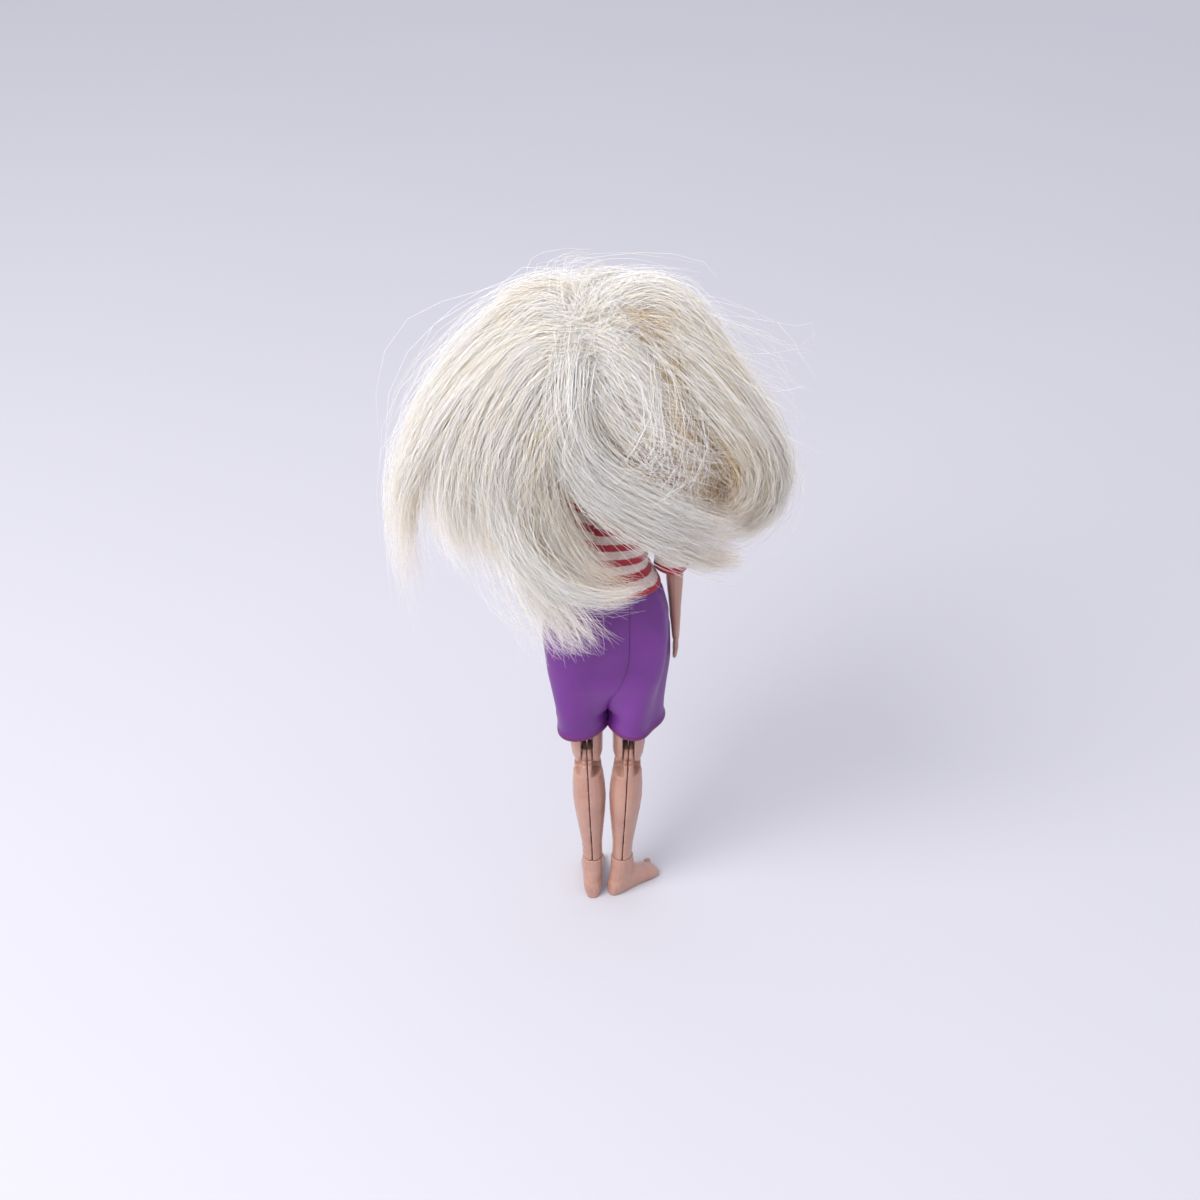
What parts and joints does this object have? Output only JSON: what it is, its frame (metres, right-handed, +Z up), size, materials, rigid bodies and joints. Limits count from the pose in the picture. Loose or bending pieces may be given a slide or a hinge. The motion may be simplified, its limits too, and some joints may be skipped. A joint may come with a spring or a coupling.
{
  "type": "fashion doll",
  "caption": "Jointed fashion doll with long loose blond hair, a striped knit top and purple satin shorts, standing barefoot; neck, waist, shoulders, elbows, hips, knees and ankles move.",
  "frame": {"origin": "on the floor under the middle of the doll's overall box", "axes": "+Z up, the doll faces -Y, its left side is +X"},
  "size_m": [0.1514, 0.1148, 0.299],
  "materials": {
    "skin_vinyl": "satin moulded vinyl, light tan",
    "peg_plastic": "plain off-white moulding, hidden inside the joints",
    "pin_steel": "plain drawn wire",
    "striped_knit": "fine knit with red and off-white stripes",
    "satin": "purple satin",
    "tape": "white hook-and-loop tape",
    "elastic": "narrow woven elastic",
    "hair_fibre": "platinum blond rooted fibre"
  },
  "bodies": {
    "lower_torso": {"pelvis_front_shell": "skin_vinyl", "pelvis_back_shell": "skin_vinyl", "waist_peg": "peg_plastic", "shorts_left_half": "satin", "shorts_right_half": "satin", "shorts_waist_elastic": "elastic"},
    "upper_torso": {"chest_front_shell": "skin_vinyl", "chest_back_shell": "skin_vinyl", "neck_peg": "peg_plastic", "shirt_body": "striped_knit", "shirt_loop_tape": "tape", "shirt_hook_tape": "tape"},
    "head": {"head": "skin_vinyl", "hair_cap": "hair_fibre", "hair_left_fall": "hair_fibre", "hair_right_fall": "hair_fibre", "hair_back_fall": "hair_fibre", "hair_low_lock": "hair_fibre"},
    "left_upper_arm": {"left_shoulder_peg": "peg_plastic", "left_upper_arm": "skin_vinyl", "left_elbow_pin": "pin_steel", "left_sleeve": "striped_knit"},
    "left_forearm": {"left_forearm": "skin_vinyl"},
    "left_thigh": {"left_hip_peg": "peg_plastic", "left_thigh": "skin_vinyl", "left_knee_pin": "pin_steel"},
    "left_shin": {"left_shin_inner_half": "skin_vinyl", "left_shin_outer_half": "skin_vinyl"},
    "left_foot": {"left_foot": "skin_vinyl", "left_ankle_peg": "peg_plastic"},
    "right_upper_arm": {"right_shoulder_peg": "peg_plastic", "right_upper_arm": "skin_vinyl", "right_elbow_pin": "pin_steel", "right_sleeve": "striped_knit"},
    "right_forearm": {"right_forearm": "skin_vinyl"},
    "right_thigh": {"right_hip_peg": "peg_plastic", "right_thigh": "skin_vinyl", "right_knee_pin": "pin_steel"},
    "right_shin": {"right_shin_inner_half": "skin_vinyl", "right_shin_outer_half": "skin_vinyl"},
    "right_foot": {"right_foot": "skin_vinyl", "right_ankle_peg": "peg_plastic"}
  },
  "joints": [
    {"name": "waist_turn", "type": "hinge", "parent": "lower_torso", "child": "upper_torso", "pos_m": [-0.00444, 0.02359, 0.18087], "axis": [0, -0.0384, 0.9993], "range_deg": [-50, 50], "deforming": ["shirt_body"]},
    {"name": "neck_turn", "type": "hinge", "parent": "upper_torso", "child": "head", "pos_m": [-0.00444, 0.02094, 0.24982], "axis": [0, -0.0384, 0.9993], "range_deg": [-45, 115], "deforming": ["hair_cap", "hair_left_fall", "hair_right_fall", "hair_back_fall", "hair_low_lock"]},
    {"name": "left_shoulder_swing", "type": "hinge", "parent": "upper_torso", "child": "left_upper_arm", "pos_m": [0.01586, 0.02167, 0.23083], "axis": [1, 0, 0], "range_deg": [-130, 90]},
    {"name": "left_elbow_bend", "type": "hinge", "parent": "left_upper_arm", "child": "left_forearm", "pos_m": [0.02286, -0.01018, 0.20195], "axis": [-1, 0, 0], "range_deg": [0, 98], "deforming": ["left_sleeve"]},
    {"name": "right_shoulder_swing", "type": "hinge", "parent": "upper_torso", "child": "right_upper_arm", "pos_m": [-0.02474, 0.02167, 0.23083], "axis": [1, 0, 0], "range_deg": [-165, 54]},
    {"name": "right_elbow_bend", "type": "hinge", "parent": "right_upper_arm", "child": "right_forearm", "pos_m": [-0.03173, 0.01957, 0.18788], "axis": [-1, 0, 0], "range_deg": [0, 98], "deforming": ["right_sleeve"]},
    {"name": "left_hip_swing", "type": "hinge", "parent": "lower_torso", "child": "left_thigh", "pos_m": [0.00161, 0.02512, 0.1409], "axis": [-1, 0, 0], "range_deg": [-25, 82], "deforming": ["shorts_left_half"]},
    {"name": "left_knee_bend", "type": "hinge", "parent": "left_thigh", "child": "left_shin", "pos_m": [0.00576, 0.02735, 0.08294], "axis": [1, 0, 0], "range_deg": [0, 104]},
    {"name": "left_ankle_turn", "type": "hinge", "parent": "left_shin", "child": "left_foot", "pos_m": [0.00236, 0.02973, 0.02099], "axis": [0, -0.0384, 0.9993], "range_deg": [-5, 42]},
    {"name": "right_hip_swing", "type": "hinge", "parent": "lower_torso", "child": "right_thigh", "pos_m": [-0.01049, 0.02512, 0.1409], "axis": [-1, 0, 0], "range_deg": [-25, 82], "deforming": ["shorts_right_half"]},
    {"name": "right_knee_bend", "type": "hinge", "parent": "right_thigh", "child": "right_shin", "pos_m": [-0.01464, 0.02735, 0.08294], "axis": [1, 0, 0], "range_deg": [0, 104]},
    {"name": "right_ankle_turn", "type": "hinge", "parent": "right_shin", "child": "right_foot", "pos_m": [-0.01124, 0.02973, 0.02099], "axis": [0, 0.0384, -0.9993], "range_deg": [-54, 3]}
  ]
}
